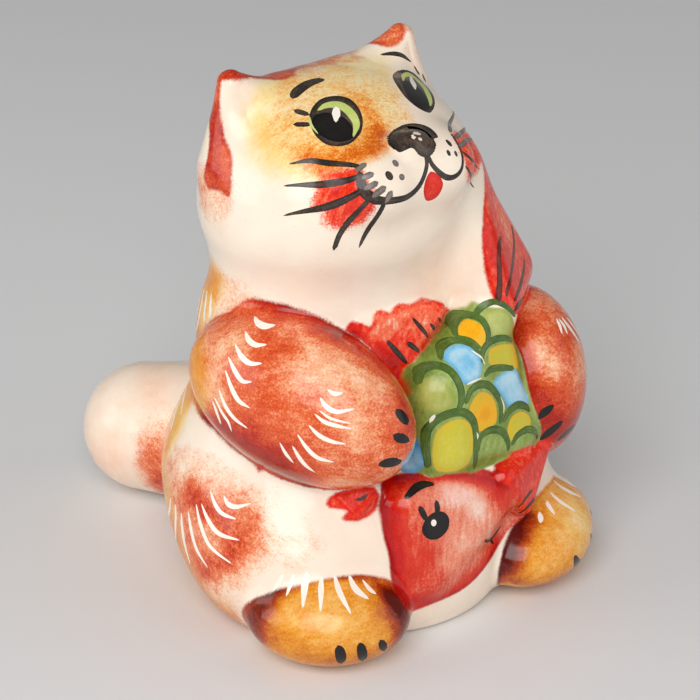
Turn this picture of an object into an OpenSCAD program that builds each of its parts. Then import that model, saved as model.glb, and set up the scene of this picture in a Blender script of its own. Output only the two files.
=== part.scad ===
// Souvenir figurine: a sitting cat that hugs a fish, hollow glazed earthenware.
// Millimetres, +Z up. The cat faces -Y, its own right side is -X, and the origin
// is the middle of the flat underside that it stands on.

/* [Ware] */
// Thickness of the cast wall
wall = 4; // [3:0.5:6]
// Diameter of the casting vent in the underside
vent_d = 9; // [6:0.5:12]
// How far behind the origin the vent lies
vent_y = 10; // [8:1:14]
// Height at which the head is luted to the body
neck_z = 60; // [57:1:63]

/* [Body] */
// Middle of the hips
hip_at = [0, 3, 22]; // [-10:0.5:30]
// Half sizes of the hips
hip_r = [37, 31, 26]; // [20:0.5:45]
// Middle of the chest
chest_at = [0, 4, 51]; // [-10:0.5:60]
// Half sizes of the chest
chest_r = [28.5, 23.5, 24]; // [18:0.5:36]
// Middle of the belly
belly_at = [0, -13, 10]; // [-20:0.5:20]
// Half sizes of the belly
belly_r = [25, 22, 20]; // [15:0.5:30]
// Middle of a thigh, on the left side
thigh_at = [21, -7, 13]; // [-15:0.5:30]
// Half sizes of a thigh
thigh_r = [18, 21, 17]; // [12:0.5:26]

/* [Head] */
// Middle of the head
head_at = [0, 4, 78]; // [-10:0.5:90]
// Half sizes of the head
head_r = [27, 25, 22]; // [18:0.5:34]
// Middle of the crown between the ears
crown_at = [0, 9, 88.5]; // [-10:0.5:95]
// Half sizes of the crown
crown_r = [19, 12, 8.5]; // [8:0.5:26]
// How far the face is tilted back, in degrees
head_tilt = 20; // [0:1:30]
// Corners of the left ear: inner root, outer root, tip
ear_at = [[10, 10, 91.5], [20, 9, 86], [19.4, 10, 101.4]]; // [-10:0.5:110]
// Radii at those corners
ear_r = [7.5, 5.5, 2.6]; // [2:0.1:10]
// Middle of the left whisker pad
pad_at = [6, -15.5, 87.5]; // [-25:0.5:95]
// Half sizes of a whisker pad
pad_r = [9, 7.5, 7]; // [4:0.5:10]
// Middle of the nose
nose_at = [0, -17, 92.5]; // [-25:0.5:100]
// Half sizes of the nose
nose_r = [4.5, 3.5, 3.5]; // [3:0.5:7]

/* [Limbs] */
// Middle of the right arm, which reaches round to the front
arm_right_at = [-21, -13, 47]; // [-35:0.5:60]
// Half sizes of the right arm
arm_right_r = [13, 23.5, 15]; // [8:0.5:30]
// Turns of the right arm about X, Y and Z
arm_right_turn = [11, 0, 22]; // [-45:1:45]
// Middle of the left arm, which hangs lower
arm_left_at = [31, -15, 37]; // [-20:0.5:60]
// Half sizes of the left arm
arm_left_r = [11.5, 17, 17.5]; // [8:0.5:30]
// Turns of the left arm about X, Y and Z
arm_left_turn = [35, 0, -20]; // [-45:1:45]
// Middle of the right foot
foot_right_at = [-24, -25, 8]; // [-35:0.5:30]
// Half sizes of the right foot
foot_right_r = [15.5, 12.5, 9]; // [7:0.5:20]
// Middle of the left foot
foot_left_at = [25, -24.5, 8]; // [-35:0.5:30]
// Half sizes of the left foot, which is pushed out a little further
foot_left_r = [17, 13, 9]; // [7:0.5:20]
// How far the feet turn out, in degrees
foot_out = 42; // [20:1:60]
// Root and end of the tail
tail_at = [[-8, 30, 15.5], [-17.5, 46, 13.5]]; // [-30:0.5:60]
// Radii at the root and end of the tail
tail_r = [15, 13.3]; // [8:0.1:16]

/* [Fish] */
// Corners of the fish's scaled body: tail root, back, gill above, gill below
fish_at = [[14.5, -20.5, 54], [4, -23, 45.5], [2, -25, 35], [18, -24, 33]]; // [-30:0.5:60]
// Radii at those corners
fish_r = [6, 7.5, 7, 6.5]; // [5:0.5:10]
// Corners of the fish's head: gill, mouth, chin
snout_at = [[-7, -27, 26], [13, -28, 24], [-6, -31, 13]]; // [-35:0.5:35]
// Radii at those corners
snout_r = [6, 6, 5]; // [4:0.5:8]
// Corners of the tail fin: root, upper edge, outer edge
tail_fin_at = [[18, -20, 57], [17, -9, 80], [29, -10, 58]]; // [-30:0.5:90]
// Radii at those corners
tail_fin_r = [5.5, 5.5, 6]; // [2:0.5:8]
// Corners of the dorsal fin
dorsal_fin_at = [[-9, -15, 59.5], [5, -19.5, 60], [-1.5, -19, 53]]; // [-35:0.5:70]
// Corners of the ventral fin
ventral_fin_at = [[-19.5, -20.5, 30.5], [-13.5, -24.5, 30], [-17.5, -24, 27]]; // [-35:0.5:40]
// Corners of the pectoral fin
pectoral_fin_at = [[12.5, -31.5, 27], [25, -27, 28.5], [18, -30.5, 19]]; // [-35:0.5:40]
// Radii at the pectoral fin's corners
pectoral_fin_r = [3, 2.5, 2.5]; // [2:0.5:4]
// Radius of the other fins' rounded edges
fin_edge_r = 2; // [1.5:0.5:3]

/* [Hidden] */
skin_fn = 44;
limb_fn = 32;
cavity_fn = 24;
edge_fn = 20;
far = 200;

function mirrored(v, side) = [side * v[0], v[1], v[2]];

// One modelled lump: an ellipsoid of half sizes r, shrunk by t for the inside of a wall.
module lump(at, r, turn = [0, 0, 0], t = 0, fn = limb_fn) {
    hull() translate(at) rotate(turn) scale([r[0] - t, r[1] - t, r[2] - t]) sphere(r = 1, $fn = fn);
}

// A rounded web between spheres, for ears, fins and the tail.
module web(at, radii, side = 1, fn = edge_fn) {
    hull() for (i = [0 : len(at) - 1])
        translate(mirrored(at[i], side)) sphere(r = radii[i], $fn = fn);
}

module above(z) {
    translate([-far / 2, -far / 2, z]) cube(far);
}

// The pear-shaped body without its head; t shrinks it for the casting cavity.
module body_form(t = 0, fn = skin_fn) {
    hull() {
        lump(hip_at, hip_r, t = t, fn = fn);
        lump(chest_at, chest_r, t = t, fn = fn);
    }
    hull() {
        lump(hip_at, hip_r, t = t, fn = fn);
        lump(belly_at, belly_r, t = t, fn = fn);
    }
    for (side = [-1, 1]) hull() {
        lump(hip_at, hip_r, t = t, fn = fn);
        lump(mirrored(thigh_at, side), thigh_r, t = t, fn = fn);
    }
}

module head_form(t = 0, fn = skin_fn) {
    hull() {
        lump(head_at, head_r, [-head_tilt, 0, 0], t, fn);
        lump(crown_at, crown_r, t = t, fn = fn);
    }
}

module trunk_form() {
    body_form();
    head_form();
}

// One hollow runs through the body and the head, as slip casting leaves it.
module cavity() {
    intersection() {
        union() {
            body_form(wall, cavity_fn);
            head_form(wall, cavity_fn);
        }
        above(wall);
    }
}

module arm_form(side) {
    if (side < 0) lump(arm_right_at, arm_right_r, arm_right_turn);
    else lump(arm_left_at, arm_left_r, arm_left_turn);
}

module foot_form(side) {
    intersection() {
        if (side < 0) lump(foot_right_at, foot_right_r, [0, 0, -foot_out]);
        else lump(foot_left_at, foot_left_r, [0, 0, foot_out]);
        above(0);
    }
}

module pad_form(side) {
    lump(mirrored(pad_at, side), pad_r);
}

module fish_form() {
    web(fish_at, fish_r, fn = limb_fn);
}

module limbs_form() {
    for (side = [-1, 1]) {
        arm_form(side);
        foot_form(side);
    }
}

module body_shell() {
    color("ivory") difference() {
        intersection() {
            trunk_form();
            above(0);
        }
        above(neck_z);
        cavity();
        translate([0, vent_y, -1]) cylinder(d = vent_d, h = wall + 2, $fn = 32);
    }
}

module head_shell() {
    color("ivory") difference() {
        intersection() {
            trunk_form();
            above(neck_z);
        }
        cavity();
    }
}

module ear(side) {
    color("mistyrose") difference() {
        web(ear_at, ear_r, side, limb_fn);
        trunk_form();
    }
}

module right_ear() {
    ear(-1);
}

module left_ear() {
    ear(1);
}

module right_whisker_pad() {
    color("white") difference() {
        pad_form(-1);
        trunk_form();
        translate([0, -far / 2, 0]) cube(far);
    }
}

module left_whisker_pad() {
    color("white") difference() {
        pad_form(1);
        trunk_form();
        translate([-far, -far / 2, 0]) cube(far);
    }
}

module nose() {
    color("black") difference() {
        lump(nose_at, nose_r, fn = edge_fn);
        trunk_form();
        pad_form(-1);
        pad_form(1);
    }
}

module right_arm() {
    color("sienna") difference() {
        arm_form(-1);
        trunk_form();
    }
}

module left_arm() {
    color("sienna") difference() {
        arm_form(1);
        trunk_form();
    }
}

module foot(side) {
    color("goldenrod") difference() {
        foot_form(side);
        trunk_form();
    }
}

module right_foot() {
    foot(-1);
}

module left_foot() {
    foot(1);
}

module tail() {
    color("mistyrose") difference() {
        intersection() {
            web(tail_at, tail_r, fn = limb_fn);
            above(0);
        }
        trunk_form();
    }
}

module fish_body() {
    color("olivedrab") difference() {
        fish_form();
        trunk_form();
        limbs_form();
    }
}

module fish_head() {
    color("firebrick") difference() {
        web(snout_at, snout_r, fn = limb_fn);
        trunk_form();
        limbs_form();
        fish_form();
    }
}

// A fin lies against the body, the arms and the rest of the fish.
module fish_fin(at, radii) {
    color("firebrick") difference() {
        web(at, radii);
        trunk_form();
        limbs_form();
        fish_form();
        web(snout_at, snout_r, fn = limb_fn);
    }
}

module fish_tail_fin() {
    fish_fin(tail_fin_at, tail_fin_r);
}

module fish_dorsal_fin() {
    fish_fin(dorsal_fin_at, [for (p = dorsal_fin_at) fin_edge_r]);
}

module fish_ventral_fin() {
    fish_fin(ventral_fin_at, [for (p = ventral_fin_at) fin_edge_r]);
}

module fish_pectoral_fin() {
    fish_fin(pectoral_fin_at, pectoral_fin_r);
}

body_shell();
head_shell();
right_ear();
left_ear();
right_whisker_pad();
left_whisker_pad();
nose();
right_arm();
left_arm();
right_foot();
left_foot();
tail();
fish_body();
fish_head();
fish_tail_fin();
fish_dorsal_fin();
fish_ventral_fin();
fish_pectoral_fin();
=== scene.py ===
import math

import bpy
import numpy as np
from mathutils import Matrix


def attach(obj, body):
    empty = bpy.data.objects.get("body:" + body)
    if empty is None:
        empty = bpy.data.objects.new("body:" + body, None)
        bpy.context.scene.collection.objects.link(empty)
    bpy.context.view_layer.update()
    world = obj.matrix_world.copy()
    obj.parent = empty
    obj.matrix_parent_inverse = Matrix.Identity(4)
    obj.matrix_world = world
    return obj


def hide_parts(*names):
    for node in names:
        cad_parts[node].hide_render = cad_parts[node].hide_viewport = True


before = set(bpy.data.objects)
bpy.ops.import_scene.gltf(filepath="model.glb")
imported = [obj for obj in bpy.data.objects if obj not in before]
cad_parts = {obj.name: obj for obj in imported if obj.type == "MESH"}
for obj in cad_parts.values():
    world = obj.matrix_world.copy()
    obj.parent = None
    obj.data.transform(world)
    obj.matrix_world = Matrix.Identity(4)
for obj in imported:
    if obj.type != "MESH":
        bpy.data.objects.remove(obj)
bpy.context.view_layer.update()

import openvdb
from mathutils import Vector

MM = 0.001  # everything below is in millimetres until a mesh is written

# ---------------------------------------------------------------- the shape, as a field
# Each member is a function of points (N, 3) that is negative inside. The cat faces -Y,
# its own right side is -X, and it stands on Z = 0.


def turned(x, y, z):
    a, b, c = np.radians([x, y, z])
    rx = np.array([[1, 0, 0], [0, np.cos(a), -np.sin(a)], [0, np.sin(a), np.cos(a)]])
    ry = np.array([[np.cos(b), 0, np.sin(b)], [0, 1, 0], [-np.sin(b), 0, np.cos(b)]])
    rz = np.array([[np.cos(c), -np.sin(c), 0], [np.sin(c), np.cos(c), 0], [0, 0, 1]])
    return (rz @ ry @ rx).astype(np.float32)


def lump(p, at, r, turn=(0, 0, 0)):
    """An ellipsoid."""
    q = p - np.asarray(at, np.float32)
    if any(turn):
        q = q @ turned(*turn)
    r = np.asarray(r, np.float32)
    k = np.linalg.norm(q / r, axis=-1)
    return k * (k - 1) / np.maximum(np.linalg.norm(q / (r * r), axis=-1), 1e-6)


def rod(p, a, b, ra, rb):
    """A rounded rod that tapers from one radius to another."""
    a, b = np.asarray(a, np.float32), np.asarray(b, np.float32)
    t = np.clip(((p - a) @ (b - a)) / ((b - a) @ (b - a)), 0, 1)
    return np.linalg.norm(p - a - t[..., None] * (b - a), axis=-1) - (ra + (rb - ra) * t)


def web(p, at, radii):
    """A rounded web between three spheres."""
    a, b, c = (np.asarray(v, np.float32) for v in at)
    edges = [rod(p, at[i], at[(i + 1) % 3], radii[i], radii[(i + 1) % 3]) for i in range(3)]
    out = np.minimum(np.minimum(edges[0], edges[1]), edges[2])
    n = np.cross(b - a, c - a)
    area = n @ n
    wb = np.cross(p - a, c - a) @ n / area
    wc = np.cross(b - a, p - a) @ n / area
    wa = 1 - wb - wc
    between = (wa > 0) & (wb > 0) & (wc > 0)
    r = wa * radii[0] + wb * radii[1] + wc * radii[2]
    face = np.abs((p - a) @ (n / np.sqrt(area))) - r
    return np.where(between, np.minimum(out, face), out)


def blend(a, b, k):
    """Two fields joined with a soft fillet of size k."""
    h = np.clip(0.5 + 0.5 * (b - a) / k, 0, 1)
    return b + (a - b) * h - k * h * (1 - h)


def carve(a, b, k):
    """a with b cut away."""
    return -blend(-a, b, k)


def sided(v, side):
    return (side * v[0], v[1], v[2])


def torso(p):
    d = blend(lump(p, (0, 3, 22), (37, 31, 26)), lump(p, (0, 4, 51), (28.5, 23.5, 24)), 12)
    d = blend(d, lump(p, (0, -13, 10), (25, 22, 20)), 6)
    for side in (-1, 1):
        d = blend(d, lump(p, (side * 21, -7, 13), (18, 21, 17)), 8)
    return d


def skull(p):
    return blend(lump(p, (0, 4, 78), (27, 25, 22), (-20, 0, 0)), lump(p, (0, 9, 88.5), (19, 12, 8.5)), 8)


def ear(p, side):
    at = [sided(v, side) for v in ((10, 10, 91.5), (20, 9, 86), (19.4, 10, 101.4))]
    return web(p, at, (7.5, 5.5, 2.6))


def pad(p, side):
    return lump(p, (side * 6, -15.5, 87.5), (9, 7.5, 7))


def fish_body(p):
    at = ((14.5, -20.5, 54), (4, -23, 45.5), (2, -25, 35), (18, -24, 33))
    upper = web(p, (at[0], at[1], at[3]), (6, 7.5, 6.5))
    return blend(upper, web(p, (at[1], at[2], at[3]), (7.5, 7, 6.5)), 3)


def one_lump(*shape):
    return lambda p: lump(p, *shape)


def one_web(at, radii):
    return lambda p: web(p, at, radii)


# name of the CAD node, its field, and how softly it runs into what is before it
MEMBERS = (
    ("body_shell", torso, 0),
    ("head_shell", skull, 7),
    ("right_ear", lambda p: ear(p, -1), 5),
    ("left_ear", lambda p: ear(p, 1), 5),
    ("right_whisker_pad", lambda p: pad(p, -1), 4),
    ("left_whisker_pad", lambda p: pad(p, 1), 4),
    ("nose", one_lump((0, -17, 92.5), (4.5, 3.5, 3.5)), 1.5),
    ("tail", lambda p: rod(p, (-8, 30, 15.5), (-17.5, 46, 13.5), 15, 13.3), 3),
    ("right_foot", one_lump((-24, -25, 8), (15.5, 12.5, 9), (0, 0, -42)), 2.5),
    ("left_foot", one_lump((25, -24.5, 8), (17, 13, 9), (0, 0, 42)), 2.5),
    ("fish_tail_fin", one_web(((18, -20, 57), (17, -9, 80), (29, -10, 58)), (5.5, 5.5, 6)), 5),
    ("fish_dorsal_fin", one_web(((-9, -15, 59.5), (5, -19.5, 60), (-1.5, -19, 53)), (2, 2, 2)), 1.5),
    ("fish_body", fish_body, 2),
    ("fish_ventral_fin", one_web(((-19.5, -20.5, 30.5), (-13.5, -24.5, 30), (-17.5, -24, 27)), (2, 2, 2)), 1),
    ("fish_head", one_web(((-7, -27, 26), (13, -28, 24), (-6, -31, 13)), (6, 6, 5)), 2),
    ("fish_pectoral_fin", one_web(((12.5, -31.5, 27), (25, -27, 28.5), (18, -30.5, 19)), (3, 2.5, 2.5)), 1),
    ("right_arm", one_lump((-21, -13, 47), (13, 23.5, 15), (11, 0, 22)), 2),
    ("left_arm", one_lump((31, -15, 37), (11.5, 17, 17.5), (35, 0, -20)), 2),
)
FOOT_EDGE = 1.2  # radius of the wiped edge round the flat underside


def fields(p):
    """(the whole surface's field, every member's own field)"""
    own = [f(p) for _, f, _ in MEMBERS]
    whole = own[0]
    for d, (_, _, soft) in zip(own[1:], MEMBERS[1:]):
        whole = blend(whole, d, soft)
    return carve(whole, p[..., 2], FOOT_EDGE), own


def surface(p):
    return fields(p)[0]


PROBE = 0.05  # half the step that a slope is measured over


def slope(p):
    """The way out of the surface at each point."""
    g = np.stack([surface(p + e) - surface(p - e) for e in np.eye(3, dtype=np.float32) * PROBE], -1)
    return g / np.maximum(np.linalg.norm(g, axis=-1, keepdims=True), 1e-9)


def settle(p):
    """Points moved onto the surface, in two steps."""
    for _ in range(2):
        p = p - slope(p) * surface(p)[:, None]
    return p


LOW, HIGH, PITCH = (-44, -44, -4), (44, 62, 108), 1.0  # the grid that the surface is found on
FIELD_CAP = 10.0  # how far from the surface the grid still tells the distance
CHUNKS = 16  # the grid is worked through in so many parts, to spare memory


def skin_mesh():
    """Vertices and quads of the whole glazed skin, about half a millimetre apart."""
    axes = [np.arange(a, b, PITCH, dtype=np.float32) for a, b in zip(LOW, HIGH)]
    shape = [len(a) for a in axes]
    p = np.stack(np.meshgrid(*axes, indexing="ij"), -1).reshape(-1, 3)
    d = np.concatenate([surface(chunk) for chunk in np.array_split(p, CHUNKS)]).reshape(shape)
    grid = openvdb.FloatGrid(background=FIELD_CAP)
    grid.copyFromArray(np.clip(d, -FIELD_CAP, FIELD_CAP).astype(np.float32))
    points, quads = grid.convertToQuads(0.0)[:2]
    points = points.astype(np.float32) * PITCH + np.array(LOW, np.float32)
    return split_quads(settle(points), quads.astype(np.int64))


def split_quads(points, quads):
    """Each quad becomes four, with the new points settled on the surface."""
    pairs = np.stack([quads, np.roll(quads, -1, 1)], -1).reshape(-1, 2)
    keys, where = np.unique(np.sort(pairs, 1), axis=0, return_inverse=True)
    where = where.reshape(-1, 4) + len(points)
    middle = len(points) + len(keys) + np.arange(len(quads))
    points = np.concatenate([points, points[keys].mean(1), points[quads].mean(1)])
    small = [np.stack([quads[:, i], where[:, i], middle, where[:, i - 1]], 1) for i in range(4)]
    return settle(points), np.concatenate(small)


def outward(points, quads, normals):
    """Quads turned so that they face the way the field grows."""
    a, b, c = points[quads[:, 0]], points[quads[:, 1]], points[quads[:, 2]]
    way = (np.cross(b - a, c - b) * normals[quads[:, 0]]).sum(1)
    return np.where((way < 0)[:, None], quads[:, ::-1], quads)


def build_mesh(name, points, faces, normals):
    """A piece from points in millimetres and lists of corners, with each corner's normal given."""
    mesh = bpy.data.meshes.new(name)
    mesh.from_pydata((points * MM).tolist(), [], faces)
    mesh.polygons.foreach_set("use_smooth", np.ones(len(mesh.polygons), bool))
    mesh.update()
    mesh.normals_split_custom_set(normals[[corner for face in faces for corner in face]].tolist())
    obj = bpy.data.objects.new(name, mesh)
    bpy.context.scene.collection.objects.link(obj)
    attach(obj, "root")
    return obj


def attribute(obj, name, values):
    a = obj.data.attributes.new(name, "FLOAT", "POINT")
    a.data.foreach_set("value", np.asarray(values, np.float32))


SKIN_WALL = 1.0  # how thick each skin piece is, inward


def skin_piece(name, quads):
    """One member's part of the skin as a closed thin shell that stands for its CAD node."""
    used, quads = np.unique(quads, return_inverse=True)
    quads = quads.reshape(-1, 4)
    outer, way = points[used], normals[used]
    n = len(outer)
    edges = np.stack([quads, np.roll(quads, -1, 1)], -1).reshape(-1, 2)
    twins = set(map(tuple, edges[:, ::-1].tolist()))
    rim = np.array([e for e in edges.tolist() if tuple(e) not in twins], np.int64).reshape(-1, 2)
    walls = np.stack([rim[:, 1], rim[:, 0], rim[:, 0] + n, rim[:, 1] + n], 1)
    faces = np.concatenate([quads, quads[:, ::-1] + n, walls])
    both = np.concatenate([outer, outer - way * SKIN_WALL])
    obj = build_mesh(name + "_skin", both, faces.tolist(), np.concatenate([way, -way]))
    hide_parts(name)
    return obj, used


points, quads = skin_mesh()
normals = slope(points)
quads = outward(points, quads, normals)
own = np.stack(fields(points)[1], 1)
quad_member = np.array([own[quads[:, i]] for i in range(4)]).mean(0).argmin(1)
skins = {name: skin_piece(name, quads[quad_member == i]) for i, (name, _, _) in enumerate(MEMBERS)}

# ---------------------------------------------------------------- local frames for painting
# origin, the way out of the surface, and the way up; a point (u, v) of a frame is in
# millimetres across and up, and is dropped onto the surface from outside
FRAMES = {
    "face": ((0, -12, 90), (0, -0.75, 0.66), (0, 0.66, 0.75)),
    "shoulder": ((-21, -13, 46), (-0.7, -0.6, 0.4), (0, 0, 1)),
    "left_paw": ((30.5, -15, 38.5), (0, -0.9, 0.42), (0, 0, 1)),
    "right_foot": ((-25, -24.5, 8), (-0.5, -0.75, 0.45), (0, 0, 1)),
    "left_foot": ((25, -24.5, 8), (0.3, -0.87, 0.4), (0, 0, 1)),
    "fish": ((3, -30, 38), (-0.1, -0.95, 0.3), (0, 0, 1)),
    "hip": ((-30, -6, 22), (-0.85, -0.4, 0.35), (0, 0, 1)),
    "left_hip": ((30, 0, 24), (0.95, 0, 0.3), (0, 0, 1)),
    "tail": ((-20, 40, 15), (-0.85, -0.3, 0.43), (0, 0, 1)),
    "fin": ((22, -14, 68), (-0.1, -0.9, 0.42), (0, 0, 1)),
    "side": ((-24, 10, 60), (-0.95, 0, 0.3), (0, 0, 1)),
    "left_side": ((24, 10, 60), (0.95, 0, 0.3), (0, 0, 1)),
    "back": ((0, 28, 55), (0, 0.96, 0.28), (0, 0, 1)),
    "tail_back": ((-14, 44, 15), (0.2, 0.8, 0.5), (0, 0, 1)),
}
DROP_FROM = 30.0  # how far outside the frame's plane a point starts to fall
DROP_STEPS, DROP_PACE = 60, 0.8  # at most so many falls, each this share of the distance left
MISS = 0.3  # a point that ends further than this from the surface has missed it
STROKE_STEP, BLOT_STEP, WASH_STEP = 0.4, 0.35, 1.5  # how finely strokes and outlines are smoothed


def axes_of(name):
    origin, n, up = (np.array(v, float) for v in FRAMES[name])
    n /= np.linalg.norm(n)
    v = up - n * (up @ n)
    v /= np.linalg.norm(v)
    return origin, np.cross(v, n), v, n


def drop(name, uv):
    """Points of a frame dropped onto the surface, and the surface's normals there."""
    origin, u, v, n = axes_of(name)
    start = origin + uv[:, :1] * u + uv[:, 1:2] * v + n * DROP_FROM
    t = np.zeros(len(uv))
    for _ in range(DROP_STEPS):
        t += DROP_PACE * surface((start - n * t[:, None]).astype(np.float32))
        t = np.minimum(t, 3 * DROP_FROM)
    p = (start - n * t[:, None]).astype(np.float32)
    left = np.abs(surface(p))
    if left.max() > MISS:
        print("a stroke misses the surface in", name, uv[left.argmax()].round(1))
    return p, slope(p)


def smooth(path, closed=False, step=STROKE_STEP):
    """A Catmull-Rom curve through a short list of points, about step apart."""
    p = np.array(path, float)
    p = np.vstack([p[-1], p, p[:2]]) if closed else np.vstack([2 * p[0] - p[1], p, 2 * p[-1] - p[-2]])
    out = []
    for a, b, c, d in zip(p, p[1:], p[2:], p[3:]):
        count = max(2, int(np.linalg.norm((c - b)[:2]) / step))
        t = np.arange(count)[:, None] / count
        bend, twist = 2 * a - 5 * b + 4 * c - d, 3 * b - a - 3 * c + d
        out.append(0.5 * (2 * b + (c - a) * t + bend * t**2 + twist * t**3))
    if not closed:
        out.append(p[-2][None])
    return np.vstack(out)


def way_to(q, path, closed):
    """The distance of each point of a plane to a path."""
    best = np.full(len(q), 1e9)
    ends = np.roll(path, -1, 0) if closed else path[1:]
    for a, b in zip(path, ends):
        t = np.clip((q - a) @ (b - a) / max((b - a) @ (b - a), 1e-9), 0, 1)
        best = np.minimum(best, ((q - a - t[:, None] * (b - a)) ** 2).sum(1))
    return np.sqrt(best)


def within(q, path):
    """Which points of a plane lie inside a closed path."""
    odd = np.zeros(len(q), bool)
    for a, b in zip(path, np.roll(path, -1, 0)):
        across = (a[1] > q[:, 1]) != (b[1] > q[:, 1])
        odd ^= across & (q[:, 0] < (b[0] - a[0]) * (q[:, 1] - a[1]) / (b[1] - a[1] + 1e-12) + a[0])
    return odd


# ---------------------------------------------------------------- washes
FAR = 9.0  # millimetres to an edge that count as nowhere near it
MARGIN = 6.0  # how far round an outline its distance is worth measuring
DEEP, DEEPEST = -17.0, -24.0  # under the frame's plane, where paint fades and where it ends
TURN_FADE, TURN_REACH = 25.0, 0.16  # how fast and from where paint fades as the skin turns away
FACING_FROM, FACING_OVER = -0.1, 0.2  # where a soft band starts to fade in, and over how much
ABSENT = 3.5  # a wash whose edge is never nearer than this is not on a piece


def seen_from(name):
    """The skin's points in a frame's plane, how far they face it and how high they stand."""
    origin, u, v, n = axes_of(name)
    q = points - origin
    return np.stack([q @ u, q @ v], 1), normals @ n, q @ n


def patch(name, *outlines, lean=0.12):
    """Millimetres to the edge of painted patches, negative inside them."""
    q, facing, height = seen_from(name)
    fade = TURN_FADE * np.clip(lean + TURN_REACH - facing, 0, None) + np.clip(DEEP - height, 0, None)
    out = np.full(len(q), FAR)
    for outline in outlines:
        path = smooth(outline, True, WASH_STEP)
        near = (q > path.min(0) - MARGIN).all(1) & (q < path.max(0) + MARGIN).all(1)
        near &= (facing > lean) & (height > DEEPEST)
        d = way_to(q[near], path, True)
        edge = np.where(within(q[near], path), -d, d) + fade[near]
        out[near] = np.minimum(out[near], edge)
    return out


def whole(*members):
    """Millimetres past the edge of some members, negative on them."""
    index = [i for i, m in enumerate(MEMBERS) if m[0] in members]
    rest = [i for i in range(len(MEMBERS)) if i not in index]
    return np.clip(own[:, index].min(1) - own[:, rest].min(1), -FAR, FAR)


def depth(base, **bands):
    """How thick a pigment lies: a base, and by frame soft bands of more or less of it along
    a path or round one point, each (path, radius, amount)."""
    out = np.full(len(points), float(base))
    for name, listed in bands.items():
        q, facing, _ = seen_from(name)
        facing = np.clip((facing - FACING_FROM) / FACING_OVER, 0, 1)
        for path, radius, amount in listed:
            path = np.array(path, float)
            if len(path) == 1:
                path = np.vstack([path, path + 1e-3])
            out += amount * facing * np.exp(-((way_to(q, path, False) / radius) ** 2))
    return out


def union(*edges):
    return np.minimum.reduce(edges)


def inside(*edges):
    return np.maximum.reduce(edges)


ARMS = whole("right_arm", "left_arm")
FEET = whole("right_foot", "left_foot")

WASHES = {}  # by pigment, the lowest first: its edge in millimetres, how thick it lies


def lay(pigment, edge, base, **bands):
    """One more wash over those before it."""
    WASHES[pigment] = edge, depth(base, **bands)


lay("peach_and_chin_shade", union(
    patch("face",
        [(-22, 22), (-16, 22.5), (-13, 19), (-16, 12), (-20, 8), (-23, 12)],
        [(15, 20), (19, 22), (22, 18), (20, 13), (17, 15)]),
    whole("tail") - 1,
    # painted shade: this pale peach patch on the chest under the chin stands for the shade under the head,
    # while the same wash on the ears and the tail is their own pink
    patch("fish", [(-4, 30), (4, 36), (12, 34), (10, 24), (2, 24)]),
), .35, tail=(
    ([(0, 10), (4, 6)], 4, .25),
    ([(-10, -8), (-4, -7)], 4, .3),
))
lay("yellow", union(
    patch("face",
        [(-21, 4), (-21.5, 10), (-19, 17), (-13, 22), (0, 24), (11, 21), (12, 16), (6, 12), (0, 4), (-10, -1),
         (-17, 0)]),
    patch("side",
        [(-16, -20), (-8, -19.5), (-3, -20), (-1, -26), (-3, -36), (-14, -42), (-18, -30)],
        [(-14, 4), (-6, 6), (4, 4), (4, -2), (2, -12), (-2, -20), (-14, -18)], lean=-.2),
    patch("left_side", [(-4, 5), (6, 6), (14, 4), (16, -10), (12, -24), (0, -26), (-3, -12)]),
), .45, face=(
    ([(-20, 8), (-17, 17)], 4, .15),
), side=(
    ([(-10, -21), (-5, -24), (-6, -34)], 6, .6),
    ([(-10, 2), (-4, -4), (-6, -14)], 6, .6),
))
lay("orange", patch("face",
    [(-17.5, 3), (-19, 8), (-18, 13), (-14, 18), (-10, 21.5), (-3, 22), (3, 20), (6, 17), (8, 14), (7, 10),
     (5.6, 6), (4.4, 3.6), (0, 3.6), (-3.5, 1), (-5, -1.2), (-9, -1.5), (-13, -1.6), (-17, -.5)],
), .34, face=(
    ([(-16, 3.5), (-13, 1.5), (-8, .8), (-3.5, 2.6)], 2.6, .52),
    ([(-3, 4), (-1.8, 8), (-2.2, 12)], 2.2, .3),
    ([(-13.5, 12), (-12, 16), (-9, 19)], 2, .12),
    ([(6, 14), (5, 20)], 3, -.1),
    ([(0, 20)], 4, -.06),
))
lay("ochre", inside(
    FEET,
    -patch("left_foot",
        [(8, 9), (9, 5.4), (12, 3), (15.5, -1), (18, -4), (24, -5), (24, 12), (14, 12)], lean=-.5),
), .46, right_foot=(
    ([(-14, -6), (-13.4, -2), (-11.6, 2), (-8, 5.6)], 3, .46),
    ([(-9, 6.5), (0, 8.4), (9, 6.2), (14, 1.5)], 1.1, .26),
    ([(13.5, 2), (15.6, -2), (15.4, -7)], 3.4, .5),
    ([(-9, -4), (0, -8), (8, -9)], 3, .12),
    ([(-6, 1), (2, 0)], 4, -.12),
), left_foot=(
    ([(-9, -10.5), (-16, -8.5), (-17.6, -3), (-14.6, 2.6), (-8, 6)], 1.8, .62),
    ([(3, 0)], 6, -.22),
    ([(-6, -8), (0, -9)], 3, .12),
))
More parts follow.
